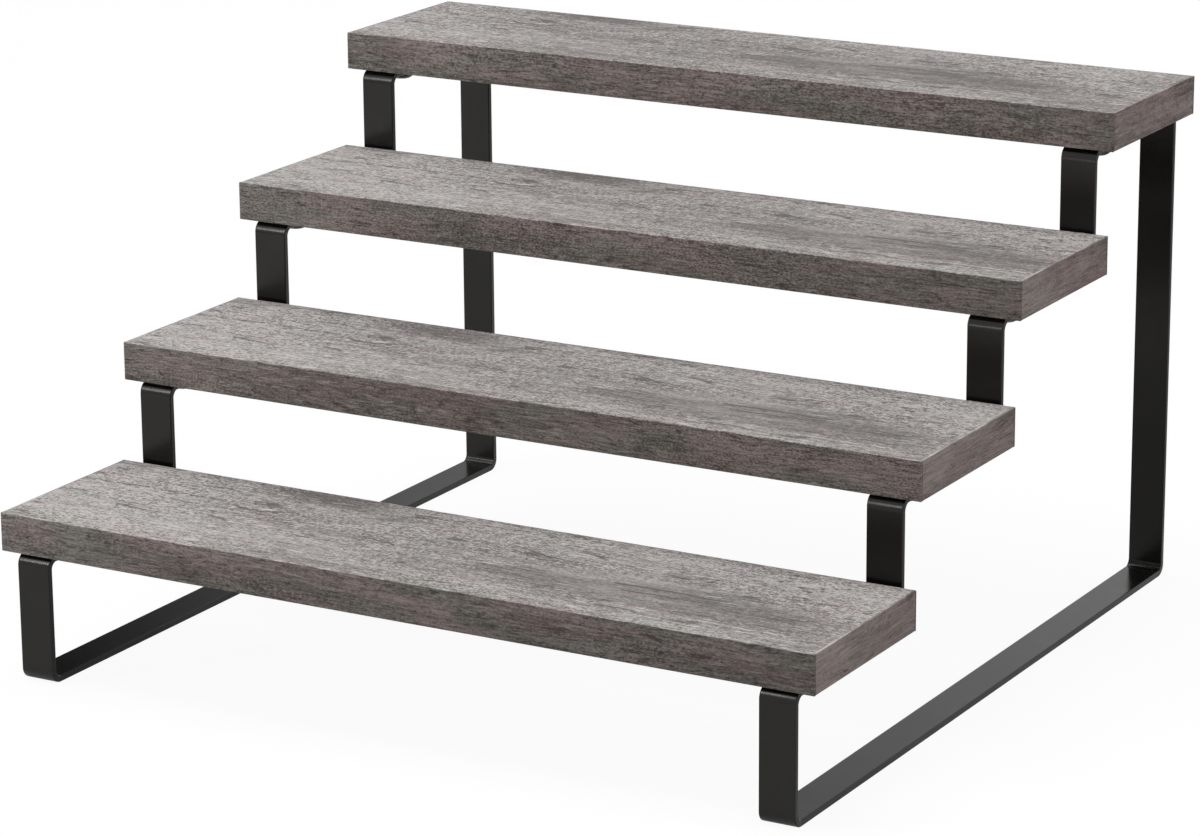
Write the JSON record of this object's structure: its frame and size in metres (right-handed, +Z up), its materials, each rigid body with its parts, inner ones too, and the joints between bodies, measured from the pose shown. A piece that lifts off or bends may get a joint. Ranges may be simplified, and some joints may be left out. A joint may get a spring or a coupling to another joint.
{
  "type": "display riser",
  "caption": "Stepped display riser: laminated wood-look boards screwed onto closed staircase side frames of bent black flat bar; goods stand on each step.",
  "frame": {"origin": "on the floor plane, in the middle of the footprint", "axes": "+X along the boards to the right, -Y towards the low front step, +Z up"},
  "size_m": [0.41, 0.389, 0.246],
  "materials": {
    "oak_board": "grey weathered oak print, matte",
    "oak_edge_band": "grey weathered oak print, matte",
    "black_bar": "satin black powder coat",
    "black_screw": "black oxide"
  },
  "bodies": {
    "root": {"board_1_panel": "oak_board", "board_1_front_band": "oak_edge_band", "board_1_rear_band": "oak_edge_band", "board_1_left_band": "oak_edge_band", "board_1_right_band": "oak_edge_band", "board_1_screws": "black_screw", "board_2_panel": "oak_board", "board_2_front_band": "oak_edge_band", "board_2_rear_band": "oak_edge_band", "board_2_left_band": "oak_edge_band", "board_2_right_band": "oak_edge_band", "board_2_screws": "black_screw", "board_3_panel": "oak_board", "board_3_front_band": "oak_edge_band", "board_3_rear_band": "oak_edge_band", "board_3_left_band": "oak_edge_band", "board_3_right_band": "oak_edge_band", "board_3_screws": "black_screw", "board_4_panel": "oak_board", "board_4_front_band": "oak_edge_band", "board_4_rear_band": "oak_edge_band", "board_4_left_band": "oak_edge_band", "board_4_right_band": "oak_edge_band", "board_4_screws": "black_screw", "left_side_frame": "black_bar", "right_side_frame": "black_bar"}
  },
  "joints": []
}
